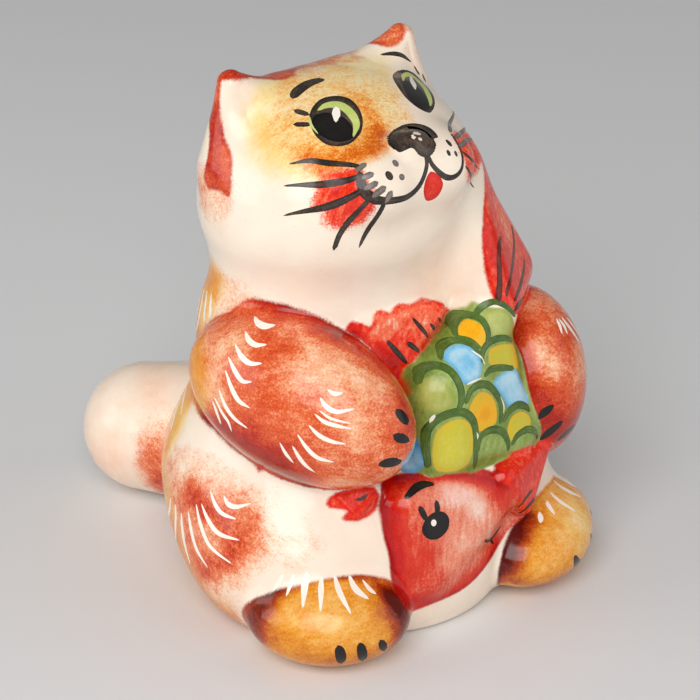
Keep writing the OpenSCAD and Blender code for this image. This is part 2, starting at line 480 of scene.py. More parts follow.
lay("sponge", union(
    patch("hip",
        [(-18, 6), (-12, 10), (-4, 9), (3, 8), (9, 6), (14, 4), (18, -1), (16, -5), (10, -6), (8, -10),
         (5, -15), (3, -20), (-3, -19), (-8, -15), (-14, -9), (-18, -2)],
        [(-27, 12), (-21, 12.5), (-19, 9), (-20.5, 5), (-27, 4)]),
    patch("side", [(0, 25), (8, 24), (8, 19), (5.6, 15.6), (1, 16), (-3, 20)]),
    patch("left_side", [(-2, 44), (-1.5, 36), (-4, 30), (-6.5, 24), (-4, 19), (1, 20), (4, 28), (4, 38)]),
    patch("tail", [(2.4, 1), (4.4, 5), (7.5, 7), (10, -8), (7, -13), (3, -11.5), (2.4, -5)]),
    patch("left_hip", [(-6, 8), (4, 9), (10, 4), (10, -6), (4, -14), (-5, -14), (-10, -5)]),
    patch("back", [(-13, 14), (-5, 17), (4, 16), (12, 13), (13, 5), (8, -1), (0, -4), (-9, -1), (-14, 6)]),
    inside(
        patch("back",
            [(-15, -20), (-4, -17), (8, -18), (17, -22), (18, -32), (10, -40), (-12, -40), (-18, -30)]),
        -whole("tail"),
    ),
    patch("back", [(-10, 47), (0, 49), (10, 47), (12, 38), (5, 32), (-4, 31), (-11, 37)]),
    patch("tail_back", [(-7, 1), (0, 2), (6, 0), (6, -6), (0, -9), (-6, -7)]),
    patch("side", [(0, 1), (5, 4.6), (9, 6), (12, 5), (13, 1), (10, -3), (4, -7), (-2, -7), (-1, -3)]),
), .46, hip=(
    ([(-9, 2.5), (-4, 1), (1, -1), (4, -4), (2, -7), (-4, -11)], 3, .24),
    ([(6, 2), (6.4, -1)], 2, .14),
    ([(13, 3), (16, -3)], 4, -.3),
    ([(-17, 4), (-11, 8.5), (-3, 8), (4, 8), (11, 5), (16, 1)], 3.4, -.2),
    ([(10, -6), (6, -13), (1, -18), (-5, -17), (-11, -12), (-16, -5)], 3.2, -.2),
    ([(-23, 9)], 4, -.1),
), tail=(
    ([(6, -9), (6, -3)], 2.6, .2),
    ([(5, 5), (8, 6)], 3, -.24),
), side=(
    ([(2, -2), (6, 1), (10, 3)], 5, -.2),
    ([(4, 21), (4, 16)], 4, -.24),
))
lay("russet", union(
    ARMS - 0.2,
    patch("shoulder",
        [(-15, 14), (-13, 17), (-11, 18.6), (-5, 18.4), (0, 17.6), (5, 15.3), (10, 12.4), (15, 9.5), (19, 5.8),
         (21, 2), (10, -2), (-10, 4)], lean=-.4),
    patch("shoulder",
        [(-13, -7), (-9, -11.3), (-7.8, -12.6), (-7, -13.6), (-5.6, -12.6), (-4.4, -13.4), (-2, -12),
         (-6, -8)], lean=-1),
    patch("hip",
        [(-19, 21.4), (-14, 19.6), (-10, 17.6), (-5, 15.8), (0, 13.6), (0, 12.6), (-5, 14.5), (-10, 16),
         (-14, 18), (-18, 20.2)], lean=-.4),
    patch("face",
        [(-25, 28), (-21, 23.2), (-16, 22.7), (-12.4, 21.8), (-10, 21), (-7, 20.9), (-5.6, 22), (-3.6, 23),
         (0, 24.2), (3, 28)],
        [(13.6, 22.6), (15.6, 21), (18, 22), (19.6, 24.4), (20, 28), (12.6, 28)], lean=-.5),
    patch("side",
        [(-4, 44), (-4, 36), (-2.3, 34), (0, 31), (1, 27), (1, 23.5), (3, 21.6), (6, 22.6), (8.5, 22.2),
         (7.6, 26.4), (6.2, 29.2), (3.8, 31.8), (2, 34.8), (.8, 37.8), (0, 44)]),
), .5, shoulder=(
    ([(4, 7.5), (16, 6)], 4.6, -.18),
    ([(9, 0), (15, -3)], 4, -.1),
    ([(-14, 11), (-16, 6), (-15, 1)], 4, -.2),
    ([(-5, 5), (-4, -2)], 4, .08),
    ([(-26, 0), (-20, -5), (-14, -7), (-9, -8.6), (-4, -10.4), (2, -13.4)], 3.8, .42),
    ([(8, -13), (15, -11)], 3.6, -.05),
    ([(-9, 18.6), (0, 17), (6, 14.4)], 1.8, .34),
    ([(7, 14), (13, 10.8), (19, 6), (22.5, -2)], 1.1, .26),
), left_paw=(
    ([(-6, 5), (-5, 0)], 2.4, -.26),
    ([(3, -1)], 4, -.1),
    ([(-9, 9), (-10, -2), (-7, -9), (-3, -13), (4, -12)], 3.4, .34),
), face=(
    ([(-22, 25.5), (-5, 24)], 2, .16),
), side=(
    ([(0, 35), (2, 30), (4, 26)], 4, .2),
))
lay("amber", union(
    patch("shoulder", [(-28, 13), (-21, 12), (-18, 8), (-16.6, 2), (-18, -3), (-28, -2)]),
    patch("side",
        [(-16, 5), (-6, 6.2), (0, 6.4), (4, 4.4), (2.8, 0), (-2, -2.4), (-8, -3), (-18, -3.4)], lean=-.2),
    patch("side", [(-12, -6), (-5, -7), (-1, -6.4), (1, -9), (-4, -14), (-12, -15)]),
    patch("hip",
        [(-26, 4), (-19, 4), (-14.5, -1), (-11.5, -6), (-8, -11), (-4, -15), (3, -18), (4, -24), (-8, -26),
         (-22, -14)], lean=-.25),
    patch("left_side", [(-2, 4), (6, 5), (14, 3.5), (14, -3), (6, -2.5), (1, 0)]),
), .5, side=(
    ([(-8, 1.6), (1, 2.6)], 4, .2),
    ([(-8, -12), (-2, -8)], 4, .2),
), hip=(
    ([(-21, 0), (-17, -6), (-12, -11), (-6, -16), (2, -20)], 4, .22),
), shoulder=(
    ([(-24, 9), (-23, 4), (-23, -1)], 4, .16),
))
lay("blush", patch("face",
    [(-15.6, 1), (-13.4, -.6), (-11.6, -2), (-11.2, -5), (-10.8, -9.8), (-12.8, -10.4), (-15, -9.6),
     (-17.2, -7.6), (-17, -5.8), (-18.2, -4.2), (-17.4, -2.2), (-16.2, -.6)],
    [(9.3, -1.2), (14, -.4), (19, .6), (24, .4), (24, -3), (20, -6), (17, -7.6), (14, -9), (10, -10), (9, -6)],
), .48, face=(
    ([(-14, -6), (-12.4, -9)], 2.5, .14),
    ([(-15, 0)], 2, -.12),
))
lay("red", union(
    inside(
        patch("fin",
            [(-5.4, -11), (-5.9, -6), (-5.5, -1), (-4.3, 4), (-2.6, 9), (-.4, 14), (3, 15), (10, 6), (16, -6),
             (17, -13), (8, -14.5), (2, -15.5), (-1.5, -14.6), (-3.4, -12.6)]),
        whole("fish_tail_fin") - 0.9,
    ),
    inside(
        whole("fish_tail_fin") - 0.1,
        20.5 - points[:, 0],
    ),
    inside(
        patch("fish",
            [(-19, 22), (-17, 25), (-15.4, 26), (-13.5, 24.8), (-12.4, 24.4), (-11.6, 26.2), (-10, 26.9),
             (-8.4, 26), (-6.5, 27.1), (-4, 26.4), (-1, 26.8), (2, 25.6), (4.4, 24.2), (5.6, 22.8), (6, 20),
             (0, 14), (-5, 9), (-10, 9), (-14, 14)], lean=-.3),
        -ARMS,
    ),
    patch("fish",
        [(-15, -4.4), (-9, -5), (-4, -4.6), (1, -5.6), (4.5, -7), (7, -8.4), (9, -7.8), (11, -6), (13, -5),
         (17, -5.6), (21, -6.5), (22, -9), (12, -16), (0, -12), (-9, -9)], lean=-.1),
    patch("fish",
        [(-25.6, -6.6), (-24, -5), (-21, -4.6), (-17, -5.2), (-16.6, -9), (-18, -10.6), (-20.5, -11),
         (-23.8, -10.2), (-22.6, -8.6), (-25, -7.8)], lean=-.3),
    whole("fish_pectoral_fin") - 0.1,
), .55, fin=(
    ([(3, 6), (4, 0)], 2.5, -.22),
    ([(-3, -4), (-5, 2)], 2, .14),
    ([(1, -5), (-1, 3)], 2, .08),
), fish=(
    ([(-12, 24), (-3, 24), (0, 22)], 3, -.2),
    ([(-16, 24), (-12, 20), (-8, 14)], 1.8, .2),
    ([(-22, -8)], 3, .06),
    ([(-4, -7), (6, -9)], 3, .2),
    ([(16, -10)], 3, .1),
))
lay("crimson", patch("fish",
    [(-14.8, -5.2), (-10, -4.4), (-4, -5.6), (2, -7.6), (6.5, -9.6), (10, -13), (13.5, -19), (16, -20.5),
     (11, -22.5), (5, -26.5), (-1, -29.5), (-8, -30.6), (-14, -31), (-17.2, -27), (-16.6, -20), (-16.8, -13),
     (-16.4, -7.5)],
), .42, fish=(
    ([(-16.5, -8), (-16.4, -27)], 2.4, .55),
    ([(-16, -29), (-8, -30.5), (0, -29.5), (8, -24.5)], 1.8, .38),
    ([(-15, -5.4), (-8, -4.6), (0, -7), (8, -11)], 1.6, .4),
    ([(-4, -9.5), (0, -11), (2, -14)], 2.6, -.34),
    ([(-1, -18), (4, -19), (-5, -22)], 3, -.16),
    ([(7, -13), (9, -17)], 2, .2),
    ([(-10, -19), (-9, -25)], 4, .12),
))
lay("green", inside(
    whole("fish_body") - 0.1,
    patch("fish",
        [(-18, 8), (-8.6, 9), (-7.2, 14.2), (-5.4, 16), (-2.4, 17.8), (.6, 19.2), (3, 20.8), (5, 22.8),
         (7.5, 23.4), (9.6, 24.8), (12.6, 24.6), (15.4, 22), (17.2, 19.6), (19, 15), (21, 6), (22, -6.6),
         (17, -6.2), (13, -6), (10.8, -7.2), (8.6, -9.2), (6.8, -10), (4.5, -8.6), (1, -7), (-4, -5.8),
         (-9, -6.4), (-18, -6)], lean=-.4),
), .5, fish=(
    ([(-4, 12), (3, 12)], 4, -.1),
    ([(-7, 12), (-3, 17), (4, 22)], 1.6, .2),
))
lay("olive", patch("fish",
    [(8.8, 21.4), (11, 22.6), (14, 21.5), (15.5, 19), (16, 17), (13, 16.5), (10, 17.4)],
    [(-7, 7.5), (-7, 11), (-5.5, 13.2), (-3.6, 13), (-2.2, 11), (-1.9, 8.5), (-3.2, 6.9), (-5.5, 6.8)],
), .5)
lay("lemon", patch("fish",
    [(3.4, 18.6), (4.6, 20.6), (6.4, 21.4), (8, 20), (8.2, 17.8), (7, 16.2)],
    [(7.8, 13.8), (8.6, 15.4), (11.5, 15.4), (15, 14.4), (16, 12), (15.8, 9.6), (13, 10), (10, 11.6),
     (8.2, 12.4)],
    [(1, 5.6), (2.2, 7.8), (4.4, 8.4), (7, 6.9), (8, 4), (7.6, 1.4), (5.5, .6), (3.4, .9), (2.6, 3)],
    [(-6, 0), (-5, 3), (-2.8, 4.6), (0, 4.2), (1.8, 1.6), (1.9, -2), (.8, -5), (-2, -5.6), (-5.4, -4.8),
     (-6.2, -2.5)],
    [(10.6, -.4), (11.8, 1.3), (14.5, 1.4), (16.6, 0), (16.8, -2), (14, -2.4), (11.8, -3.8), (10.6, -2)],
), .4, fish=(
    ([(6, 19)], 2.5, .36),
    ([(5, 4)], 3, .4),
    ([(-2, -1)], 4, -.08),
    ([(14.5, 11)], 2, .1),
))
lay("sky", patch("fish",
    [(-1.3, 16), (1, 17.6), (3.3, 17.5), (5.4, 15.5), (5.8, 13), (4.6, 11.2), (.6, 10.9), (.2, 12.5),
     (-.5, 14.5)],
    [(8, 9), (11, 10), (14.6, 9.8), (16, 7.5), (16.9, 5), (17.4, 2), (14.5, 2.6), (11, 3.4), (10, 5.8)],
    [(-17, .3), (-15, 2.6), (-12.5, 4.6), (-10, 4), (-8, 3), (-7.2, -1), (-7.4, -4.3), (-10, -4.6),
     (-13.5, -1)],
), .45, fish=(
    ([(3, 14)], 1.6, .2),
    ([(-12, 1)], 4, .4),
))


# ---------------------------------------------------------------- glaze and pigments
def tint(colour):
    """A colour written 0xRRGGBB, in linear light."""
    seen = [(colour >> shift & 255) / 255 for shift in (16, 8, 0)]
    return tuple(v / 12.92 if v <= 0.04 else ((v + 0.055) / 1.055) ** 2.4 for v in seen)


# pigment: how it looks from thin to thick (place, colour, cover if not full), how soft its
# edge is, how far it wanders and how dry it breaks up (mm), and how it lies inside (broad,
# fine, streaks, rim) with the way the brush went
PIGMENTS = {
    # the peach wash is the pink of the ears and the tail, and also painted shade on the chest under the chin
    "peach_and_chin_shade": (((0, 0xFCE8D6, 0), (.5, 0xFAD8BE, .7), (1, 0xF2B090, .9)), 3, 1.5, 3, (.5, .1, .1, 0), (0, 0, 1)),
    "yellow": (((0, 0xFEF2CE, 0), (.5, 0xFBE08C, .8), (1, 0xF4B22C)),
        2.4, 1.2, 2.2, (.5, .15, .2, 0), (.4, -.3, .8)),
    "orange": (((0, 0xFCEAB8, 0), (.3, 0xFAD492, .75), (.55, 0xF3AC4C, .92), (.8, 0xEC7E18), (1, 0xD2580A)),
        1.6, 1, 1.6, (.36, .7, .4, 0), (.5, -.4, .7)),
    "ochre": (((0, 0xFCE2AA, 0), (.25, 0xF9C868, .9), (.5, 0xE89628), (.75, 0xB03E0A), (1, 0x5C0A02)),
        .4, .4, .4, (.34, .24, .12, .12), (.7, -.6, .3)),
    "amber": (((0, 0xFCE4A0, 0), (.35, 0xF8C24E, .8), (.6, 0xEC9820, .95), (1, 0xCA5E0C)),
        2.2, 1.5, 2, (.4, .3, .2, 0), (.3, -.5, -.8)),
    "sponge": (((0, 0xFCE0C8, 0), (.25, 0xF8B88A, .6), (.5, 0xE8743C, .92), (.75, 0xCE3C14), (1, 0x961A08)),
        2, 2.4, 2.8, (.5, .44, .24, 0), (.6, -.4, -.6)),
    "russet": (((0, 0xFCDEC4, .4), (.25, 0xF9B484, .9), (.5, 0xE26232), (.75, 0xBE260A), (1, 0x920C02)),
        .45, .5, .6, (.42, .38, .16, .12), (.6, -.7, .1)),
    "red": (((0, 0xFCCEBA, 0), (.3, 0xF67A50, .95), (.55, 0xEC2E12), (.8, 0xCA0C04), (1, 0x820402)),
        .35, .35, .4, (.32, .26, .34, .12), (.2, -.4, .9)),
    "blush": (((0, 0xFCCEB4, 0), (.3, 0xF78054, .92), (.55, 0xEE381A), (.8, 0xD01008), (1, 0x8C0402)),
        .6, .6, 1.7, (.36, .34, .4, 0), (.2, -.3, .9)),
    "crimson": (((0, 0xFCDCCC, .8), (.3, 0xF09274), (.55, 0xDA3A20), (.8, 0xC80E06), (1, 0xA40202)),
        .3, .15, .2, (.26, .26, .2, .1), (.1, .1, 1)),
    "green": (((0, 0xDCE4B0, .9), (.3, 0xAEC070), (.55, 0x829A42), (.8, 0x50702A), (1, 0x284618)),
        .4, .3, .2, (.4, .2, .15, 0), (.3, 0, 1)),
    "olive": (((0, 0xD8D892, .9), (.5, 0xB4BC64), (1, 0x849436)), .2, .15, .15, (.5, .2, .15, .25), (.3, 0, 1)),
    "lemon": (((0, 0xE2E282, .9), (.4, 0xCEC234), (.7, 0xF8B414), (1, 0xE28808)),
        .2, .15, .15, (.22, .14, .12, .15), (.3, 0, 1)),
    "sky": (((0, 0xE8F4F8, .9), (.4, 0xB8DEEE), (.7, 0x78C0E4), (1, 0x2482C0)),
        .2, .15, .15, (.4, .15, .12, .3), (.3, 0, 1)),
}
GLAZE_WHITE, GLAZE_CREAM, SPECK = 0xFBEDD9, 0xF8E4D0, 0xC4A080
UNEVEN = 0.12  # the fine unevenness of the glaze beside its broad one


class Tree:
    """A node material being built, with coordinates in millimetres."""

    def __init__(self, name):
        self.material = bpy.data.materials.new(name)
        self.material.use_nodes = True
        self.nodes, self.links = self.material.node_tree.nodes, self.material.node_tree.links
        self.shader = self.nodes["Principled BSDF"]
        inputs = {0: self.add("TexCoord").outputs["Object"], "Scale": 1 / MM}
        self.mm = self.add("VectorMath", inputs, operation="SCALE").outputs[0]

    def add(self, kind, inputs=None, **settings):
        node = self.nodes.new("ShaderNode" + kind)
        for key, value in settings.items():
            setattr(node, key, value)
        for key, value in (inputs or {}).items():
            self.feed(node.inputs[key], value)
        return node

    def feed(self, socket, value):
        if isinstance(value, bpy.types.NodeSocket):
            self.links.new(value, socket)
        else:
            socket.default_value = value

    def math(self, operation, *values):
        return self.add("Math", dict(enumerate(values)), operation=operation).outputs[0]

    def noise(self, scale, detail=2.0, rough=0.55, at=None):
        inputs = {"Vector": at or self.mm, "Scale": scale, "Detail": detail, "Roughness": rough}
        return self.add("TexNoise", inputs).outputs[0]

    def streaks(self, way):
        """Noise drawn out along the way of the brush."""
        turn = Vector(way).to_track_quat("X", "Z").inverted().to_euler()
        along = self.add("Mapping", {"Vector": self.mm, "Rotation": turn}).outputs[0]
        drawn = self.add("Mapping", {"Vector": along, "Scale": (0.2, 1, 1)}).outputs[0]
        return self.noise(1.1, 3.0, 0.6, drawn)

    def swing(self, value, amount):
        """Noise turned to a swing either side of nothing."""
        return self.math("MULTIPLY_ADD", value, 2 * amount, -amount)

    def total(self, *values):
        out = values[0]
        for value in values[1:]:
            out = self.math("ADD", out, value)
        return out

    def band(self, value, low, high, to=(0.0, 1.0)):
        inputs = {"Value": value, "From Min": low, "From Max": high, "To Min": to[0], "To Max": to[1]}
        return self.add("MapRange", inputs, interpolation_type="SMOOTHSTEP").outputs[0]

    def ramp(self, value, stops):
        node = self.add("ValToRGB", {0: value})
        e = node.color_ramp.elements
        while len(e) < len(stops):
            e.new(0.5)
        for element, stop in zip(e, stops):
            element.position, colour, cover = (*stop, 1)[:3]
            element.color = (*tint(colour), cover)
        return node.outputs[0], node.outputs[1]

    def over(self, below, colour, cover):
        node = self.add("Mix", data_type="RGBA")
        self.feed(node.inputs["Factor"], cover)
        self.feed(node.inputs[6], below)
        self.feed(node.inputs[7], colour)
        return node.outputs[2]

    def attribute(self, name):
        return self.add("Attribute", attribute_name=name).outputs["Fac"]


def wash(tree, below, name):
    """One watery pigment over what is below it."""
    stops, soft, wander, dry, (broad, fine, streak, rim), way = PIGMENTS[name]
    wandered = tree.total(
        tree.attribute(name + "_edge"),
        tree.swing(tree.noise(0.35, 3.0), wander),
        tree.swing(tree.noise(2.6, 4.0, 0.7), dry),
    )
    mask = tree.band(wandered, soft, -soft)
    thick = tree.total(
        tree.attribute(name + "_tone"),
        tree.swing(tree.noise(0.14, 8.0, 0.68), broad),
        tree.swing(tree.noise(2.4, 4.0, 0.75), fine),
        tree.swing(tree.streaks(way), streak),
        tree.math("MULTIPLY", tree.band(wandered, -1.2, 0.0), rim),
    )
    colour, cover = tree.ramp(thick, stops)
    return tree.over(below, colour, tree.math("MULTIPLY", mask, cover))


def fired(tree, colour):
    """The gloss and the slight unevenness of a fired glaze of a colour."""
    s = tree.shader
    tree.links.new(colour, s.inputs["Base Color"])
    tree.feed(s.inputs["Roughness"], tree.band(tree.noise(0.25, 3.0), 0.2, 0.8, (0.14, 0.28)))
    s.inputs["IOR"].default_value = 1.4
    s.inputs["Specular IOR Level"].default_value = 0.42
    s.inputs["Coat Weight"].default_value = 0.2
    s.inputs["Coat Roughness"].default_value = 0.08
    height = tree.total(tree.noise(0.18), tree.math("MULTIPLY", tree.noise(1.4, 3.0), UNEVEN))
    node = tree.add("Bump", {"Strength": 0.35, "Distance": 0.0004, "Height": height})
    tree.links.new(node.outputs[0], s.inputs["Normal"])
    return tree.material


def skin_glaze(name, washes):
    """White glaze with washes of pigment under it."""
    tree = Tree(name)
    ground, _ = tree.ramp(tree.noise(0.12, 3.0), ((0.3, GLAZE_WHITE), (0.75, GLAZE_CREAM)))
    specks = tree.band(tree.noise(3.1, 1.0), 0.76, 0.80)
    colour = tree.over(ground, (*tint(SPECK), 1), specks)
    for pigment in washes:
        colour = wash(tree, colour, pigment)
    return fired(tree, colour)


for name, (obj, used) in skins.items():
    here = [pigment for pigment, (edge, _) in WASHES.items() if edge[used].min() <= ABSENT]
    for pigment in here:
        edge, thick = WASHES[pigment]
        attribute(obj, pigment + "_edge", np.tile(edge[used], 2))
        attribute(obj, pigment + "_tone", np.tile(thick[used], 2))
    obj.data.materials.append(skin_glaze(name + "_glaze", here))

# ---------------------------------------------------------------- brush strokes
# A stroke is a short list of (across, up, width) in its frame; without a width a point is a
# tip. It is laid as a thin solid lens of glaze whose edges sink just under the skin.
LIFT, EDGE_DIP, SUNK = 0.06, 0.02, 0.25  # its height, how far its edge dips, how deep it goes
THINNEST, TIP = 0.15, 0.3  # no stroke is narrower than the one; the other is a tip's width
ACROSS = np.array([-1, -0.6, 0, 0.6, 1])  # places across a stroke, in half widths
RINGS = (1, 0.94, 0.8, 0.6, 0.35)  # places from the edge of a blot to its centre


def lens(reach, power):
    """The height of a stroke's top where it lies so far from its middle."""
    return (LIFT + EDGE_DIP) * (1 - reach**power) - EDGE_DIP


def ribbon(frame_name, stroke, raised=0.0):
    line = smooth([(*point, TIP)[:3] for point in stroke])
    step = np.gradient(line[:, :2], axis=0)
    step /= np.linalg.norm(step, axis=1, keepdims=True)
    along = np.concatenate([[0], np.cumsum(np.linalg.norm(np.diff(line[:, :2], axis=0), axis=1))])
    width = np.maximum(line[:, 2], THINNEST)
    end = np.minimum(along, along[-1] - along)
    half = width / 2 * np.sqrt(np.clip(1 - (1 - np.clip(2 * end / width, 0.03, 1)) ** 2, 0, 1))
    side = np.stack([-step[:, 1], step[:, 0]], 1)
    uv = line[:, None, :2] + side[:, None] * half[:, None, None] * ACROSS[None, :, None]
    p, n = drop(frame_name, uv.reshape(-1, 2))
    rows, k = len(line), len(ACROSS)
    top = p + n * np.tile(raised + lens(ACROSS, 4), rows)[:, None]
    grid = np.arange(rows * k).reshape(rows, k)
    low = grid[:, [0, -1]].ravel()
    bottom = p[low] - n[low] * SUNK
    ring = np.concatenate([grid, rows * k + np.arange(rows * 2).reshape(rows, 2)[:, ::-1]], 1)
    sides = k + 2
    faces = [
        [ring[i, j], ring[i + 1, j], ring[i + 1, (j + 1) % sides], ring[i, (j + 1) % sides]]
        for i in range(rows - 1)
        for j in range(sides)
    ]
    faces += [list(ring[0]), list(ring[-1][::-1])]
    marks = np.concatenate([np.tile(np.abs(ACROSS), rows), np.ones(2 * rows)])
    length = np.concatenate([np.repeat(along, k), np.repeat(along, 2)])
    return np.concatenate([top, bottom]), np.concatenate([n, n[low]]), faces, marks, length


def blot(frame_name, outline, raised=0.0):
    """A filled shape laid the same way as a stroke."""
    edge = smooth(outline, True, BLOT_STEP)
    area = (edge[:, 0] * np.roll(edge[:, 1], -1) - edge[:, 1] * np.roll(edge[:, 0], -1)).sum()
    edge = edge if area > 0 else edge[::-1]
    centre, count = edge.mean(0), len(edge)
    uv = np.vstack([centre + (edge - centre) * r for r in RINGS] + [centre[None]])
    p, n = drop(frame_name, uv)
    reach = np.concatenate([np.repeat(RINGS, count), [0]])
    top = p + n * (raised + lens(reach, 6))[:, None]
    bottom = np.concatenate([p[:count], p[-1:]]) - np.concatenate([n[:count], n[-1:]]) * SUNK
    around = list(zip(range(count), np.roll(range(count), -1)))
    last, tip = (len(RINGS) - 1) * count, len(RINGS) * count
    base = tip + 1
    faces = [[a + i, a + j, a + count + j, a + count + i] for a in range(0, last, count) for i, j in around]
    faces += [[last + i, last + j, tip] for i, j in around]
    faces += [[base + i, base + j, j, i] for i, j in around]
    faces += [[base + j, base + i, base + count] for i, j in around]
    marks = np.concatenate([reach, np.ones(count), [0]])
    return np.concatenate([top, bottom]), np.concatenate([n, n[:count], n[-1:]]), faces, marks, marks * 2


def round_blot(frame_name, at, width, height, turn=0, raised=0.0):
    a = np.linspace(0, 2 * np.pi, 9)[:-1]
    x, y = np.cos(a) * width / 2, np.sin(a) * height / 2
    c, s = math.cos(math.radians(turn)), math.sin(math.radians(turn))
    return blot(frame_name, np.stack([at[0] + x * c - y * s, at[1] + x * s + y * c], 1), raised)


def strokes(frame_name, lines, raised=0.0):
    return [ribbon(frame_name, line, raised) for line in lines]


# how a colour looks where it lies thin and thick, how thick it lies, how much it varies,
# and the name of a slot
COLOURS = {
    "black": (((0, 0xA08068), (.3, 0x645042), (.6, 0x2E2622), (1, 0x120F0E)), .55, .34, "black_glaze"),
    "nose_black": (((0, 0x9E8470), (.4, 0x604E42), (.7, 0x322924), (1, 0x161211)), .52, .5, "black_glaze"),
    "deep_black": (((0, 0x60544A), (.4, 0x26211F), (1, 0x0E0D0D)), .7, .25, "black_glaze"),
    "grey": (((0, 0xB0A296), (.5, 0x6C625C), (1, 0x24201E)), .42, .3, "black_glaze"),
    "white": (((0, 0xFAD6B2), (.35, 0xFDF0DE), (1, 0xFFFBF2)), .62, .4, "white_glaze"),
    "lime": (((0, 0xE2E8A0), (.5, 0xC4D070), (1, 0x8CA03C)), .42, .35, "scale_glaze"),
    "green": (((0, 0x8A9E4A), (.4, 0x58742E), (.7, 0x34521E), (1, 0x183012)), .45, .36, "scale_glaze"),
    "tongue": (((0, 0xF6785A), (.5, 0xE02212), (1, 0xAA0806)), .5, .3, "red_glaze"),
    "umber": (((0, 0xD8603C), (.4, 0x8C2C1E), (.7, 0x461E18), (1, 0x1A100E)), .6, .34, "black_glaze"),
}


def stroke_glaze(name, stops, lie, vary):
    """A brush stroke: streaked along its length, darker where the pigment pooled."""
    tree = Tree(name)
    edge, length = tree.attribute("edge"), tree.attribute("length")
    along, across = tree.math("MULTIPLY", length, 0.35), tree.math("MULTIPLY", edge, 2.2)
    place = tree.add("CombineXYZ", {0: along, 1: across, 2: tree.attribute("which")}).outputs[0]
    thick = tree.total(
        tree.math("MULTIPLY_ADD", tree.math("POWER", edge, 4.0), 0.35, lie),
        tree.swing(tree.noise(1.6, 3.0, 0.6, place), vary),
        tree.swing(tree.noise(2.2, 4.0, 0.7), vary * 0.7),
        tree.swing(tree.noise(0.3), vary * 0.7),
    )
    return fired(tree, tree.ramp(thick, stops)[0])


def brushwork(name, colour, shapes):
    """One piece of many strokes of one colour."""
    starts = np.cumsum([0] + [len(shape[0]) for shape in shapes])
    faces = [[i + start for i in face] for shape, start in zip(shapes, starts) for face in shape[2]]
    p, n, edge, length = (np.concatenate([shape[i] for shape in shapes]) for i in (0, 1, 3, 4))
    obj = build_mesh(name, p, faces, n)
    attribute(obj, "edge", edge)
    attribute(obj, "length", length)
    attribute(obj, "which", np.repeat(np.arange(len(shapes)), np.diff(starts)))
    stops, lie, vary, slot = COLOURS[colour]
    obj.data.materials.append(stroke_glaze(name + "_glaze", stops, lie, vary))


def brush(name, colour, frame_name, lines, raised=0.0):
    brushwork(name, colour, strokes(frame_name, lines, raised))


# the face
brush("face_lines", "black", "face", [
    [(-11.3, 16.2, 1.1), (-9.8, 17.2, 1.9), (-7, 18.1, 1.9), (-4.6, 18.2, 1.6), (-3.5, 18, 1)],
    [(12.3, 20.3, .5), (15, 19.7, 1.1), (17, 18.8, 1), (18.6, 17.6, .4)],
    [(-12.7, 13.8, 1.2), (-12.1, 12.6, 1.3), (-11.5, 11.6, 1)],
    [(-14.6, 11.1, 1.1), (-13.4, 10.3, 1.2), (-12.4, 9.7, 1)],
    [(19.1, 16.8, .5), (19.4, 14.8, .8)],
    [(20.6, 15, .5), (20.1, 13.2, .7)],
    [(1.3, -3.6, .9), (.9, -5.6, .9), (-1.4, -8.3, 1), (-4.5, -9.5, 1), (-8, -9.3, 1.1), (-10.8, -8.2, 1.4),
     (-12.3, -6.2, 1.7), (-12.2, -3.9, 1.5), (-11.8, -2.6, .9)],
    [(1.8, -3.8, .9), (2.2, -6, 1), (3.8, -8.1, 1.1), (5.8, -8.8, .9), (7.8, -8.1, .8), (8.9, -6, .6),
     (9.2, -3, .6), (9.4, -1, .5)],
    [(-11.2, -1.8, .9), (-13.4, .8, 1.3), (-15.8, 3.2, 1.1), (-18.8, 4.4)],
    [(-12, -3.4, 1), (-14, -3, 1.4), (-17, -1, 1.2), (-20.8, 1.2)],
    [(-12, -5.7, 1), (-14.4, -6, 1.4), (-18, -4.9, 1.1), (-22, -3.5)],
    [(-11.8, -7.8, 1), (-13.5, -9, 1.2), (-15, -10.8, 1.1), (-15.6, -12.4, .9)],
    [(-9.3, -9.2, 1.1), (-10.2, -11, 1.1), (-10.9, -12.3, .9), (-11.6, -13.7, .5)],
    [(9.3, -5, .5), (11.5, -6.6, .7), (14, -6.9, .7), (16.2, -5.8, .5), (18.6, -7, .2)],
    [(9.1, -7.6, .5), (11.5, -9.2, .7), (14, -8.9, .6), (16, -10, .2)],
])
brush("face_thin_lines", "grey", "face", [
    [(-10.1, -1.6, .9), (-12.2, -2.3, 1.1)],
    [(-10, -3.9, 1.2), (-12, -4, 1.2)],
    [(-9.9, -5.7, 1.1), (-12.3, -5.9, 1.1)],
    [(-8.8, -6.9, 1.2), (-11.3, -7.6, 1.2)],
    [(-7.8, -7.9, 1.2), (-9.2, -9.3, 1.2)],
    [(9.6, -.6, .8), (12, 1, .8), (16, 3, .7), (22, 6)],
    [(9.5, -2.1, .8), (13, -1, .9), (18, .5, .8), (22, 2)],
    [(9.2, -3.9, .9), (12.5, -3, 1), (17, -1.6, .9), (22, -.6, .4)],
], .03)
brushwork("face_dots", "black", [
    round_blot("face", (-7.6, -5.3), 1.4, 1.9, 15),
    round_blot("face", (7.3, -2.8), .9, 1.7, 10),
    round_blot("face", (6.1, -4.6), .8, 1.3),
    round_blot("face", (7.6, -5.1), .7, 1.2),
])
brushwork("face_pale_dots", "grey", [
    round_blot("face", (-5.3, -3.5), 1.3, 1.5),
    round_blot("face", (-5.2, -6.2), 1.3, 1.2),
])
brushwork("nose_leather", "nose_black", [blot("face", [
    (-4.4, -.8), (-4.1, 1), (-2, 2.8), (1.5, 3.7), (4.5, 3.4), (6.3, 2), (6.6, .3), (6.2, -1.2),
    (5.2, -1.2), (4.8, -2.5), (3.4, -3.9), (1.5, -4.4), (-.2, -3.6), (-1.2, -2), (-2.3, -1.9), (-3.6, -1.9),
])])
